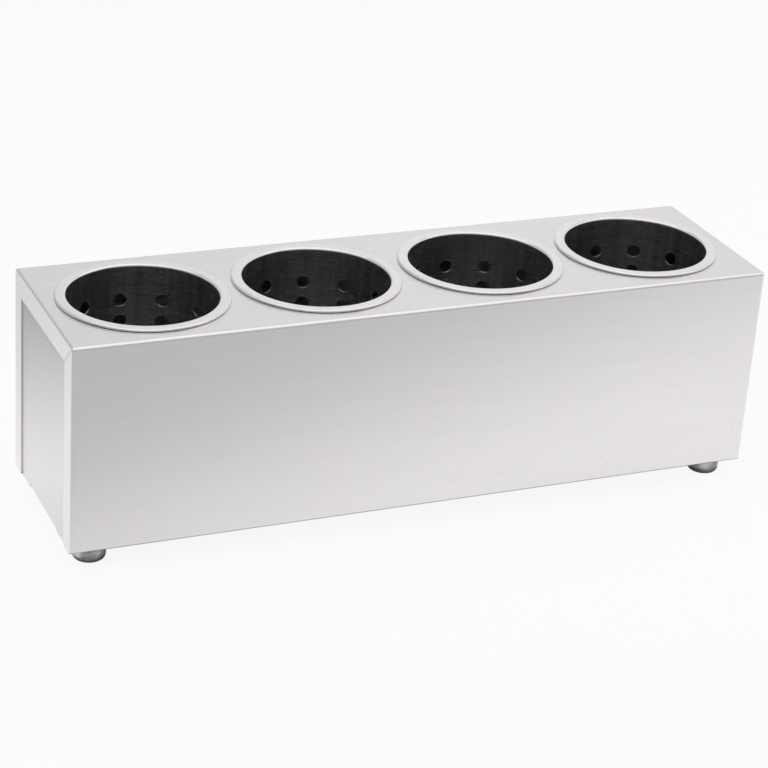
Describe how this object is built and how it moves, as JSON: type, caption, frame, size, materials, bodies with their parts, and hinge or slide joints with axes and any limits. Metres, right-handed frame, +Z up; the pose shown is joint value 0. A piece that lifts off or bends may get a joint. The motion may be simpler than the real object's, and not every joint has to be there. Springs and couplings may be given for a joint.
{
  "type": "cutlery dispenser",
  "caption": "Free-standing steel cutlery dispenser: a folded box case with a row of round openings, each holding a lift-out flanged cup, on small domed feet.",
  "frame": {"origin": "on the surface that the feet stand on, under the middle of the case", "axes": "+X along the row of cups, +Y from the front face to the rear face, +Z up"},
  "size_m": [0.485, 0.13, 0.158],
  "materials": {
    "case_steel": "fine satin brushing along the length",
    "cup_steel": "polished by drawing and turning",
    "foot_metal": "polished",
    "pad_rubber": "matt",
    "fixing_steel": "bright"
  },
  "bodies": {
    "case": {"case_wrap": "case_steel", "end_panel_left": "case_steel", "end_panel_right": "case_steel", "base_panel": "case_steel", "foot_front_left": "foot_metal", "foot_front_right": "foot_metal", "foot_rear_left": "foot_metal", "foot_rear_right": "foot_metal", "foot_pad_front_left": "pad_rubber", "foot_pad_front_right": "pad_rubber", "foot_pad_rear_left": "pad_rubber", "foot_pad_rear_right": "pad_rubber", "foot_screws": "fixing_steel", "foot_washers": "fixing_steel", "foot_nuts": "fixing_steel"},
    "cup_1": {"cup_1": "cup_steel"},
    "cup_2": {"cup_2": "cup_steel"},
    "cup_3": {"cup_3": "cup_steel"},
    "cup_4": {"cup_4": "cup_steel"}
  },
  "joints": [
    {"name": "cup_1_lift", "type": "slide", "parent": "case", "child": "cup_1", "axis": [0, 0, 1], "range_m": [0, 0.15]},
    {"name": "cup_2_lift", "type": "slide", "parent": "case", "child": "cup_2", "axis": [0, 0, 1], "range_m": [0, 0.15]},
    {"name": "cup_3_lift", "type": "slide", "parent": "case", "child": "cup_3", "axis": [0, 0, 1], "range_m": [0, 0.15]},
    {"name": "cup_4_lift", "type": "slide", "parent": "case", "child": "cup_4", "axis": [0, 0, 1], "range_m": [0, 0.15]}
  ]
}
